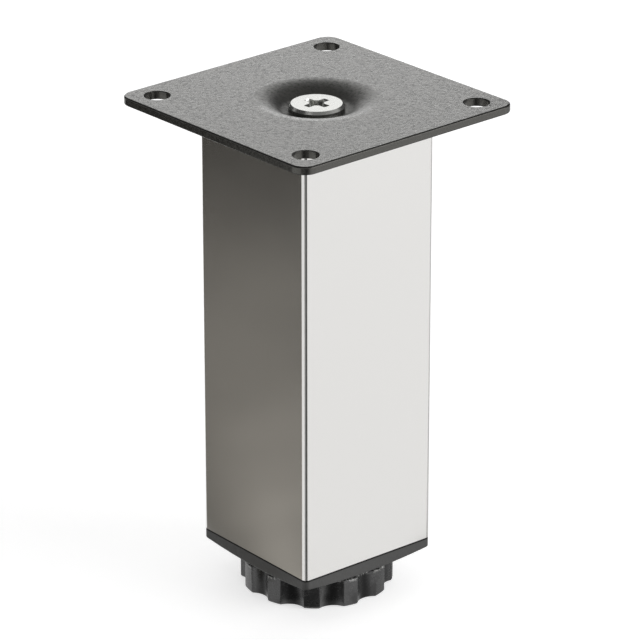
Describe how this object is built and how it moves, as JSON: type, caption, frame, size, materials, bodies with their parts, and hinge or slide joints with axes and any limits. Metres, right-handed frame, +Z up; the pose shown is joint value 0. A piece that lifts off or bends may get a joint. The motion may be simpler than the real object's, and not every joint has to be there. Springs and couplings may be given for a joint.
{
  "type": "furniture leg",
  "caption": "Square stainless furniture leg with a black screw-on mounting plate, a recessed centre screw and a fluted height-adjusting foot.",
  "frame": {"origin": "centre of the foot's underside, on the leg's axis, with the foot screwed fully in", "axes": "+Z up along the leg's axis towards the mounting plate, X and Y along the plate's sides"},
  "size_m": [0.08, 0.08, 0.1499],
  "materials": {
    "plate_coating": "fine-textured dark powder coat",
    "zinc_steel": "bright zinc plating",
    "brushed_stainless": "fine lengthwise brushed stainless",
    "black_plastic": "satin moulded black",
    "foot_plastic": "satin moulded black"
  },
  "bodies": {
    "leg": {"mounting_plate": "plate_coating", "plate_screw": "zinc_steel", "top_nut": "zinc_steel", "top_plug": "black_plastic", "leg_tube": "brushed_stainless", "bottom_cap": "black_plastic", "foot_nut": "zinc_steel"},
    "stud": {"adjuster_stud": "zinc_steel"},
    "foot": {"foot": "foot_plastic"}
  },
  "joints": [
    {"name": "foot_travel", "type": "slide", "parent": "leg", "child": "stud", "axis": [0, 0, -1], "range_m": [0, 0.02]},
    {"name": "foot_turn", "type": "hinge", "parent": "stud", "child": "foot", "pos_m": [0, 0, 0.0045], "axis": [0, 0, -1], "range_deg": [0, 4800]}
  ],
  "couplings": [
    {"joint": "foot_travel", "follows": "foot_turn", "m_per_rad": 0.00023873}
  ]
}
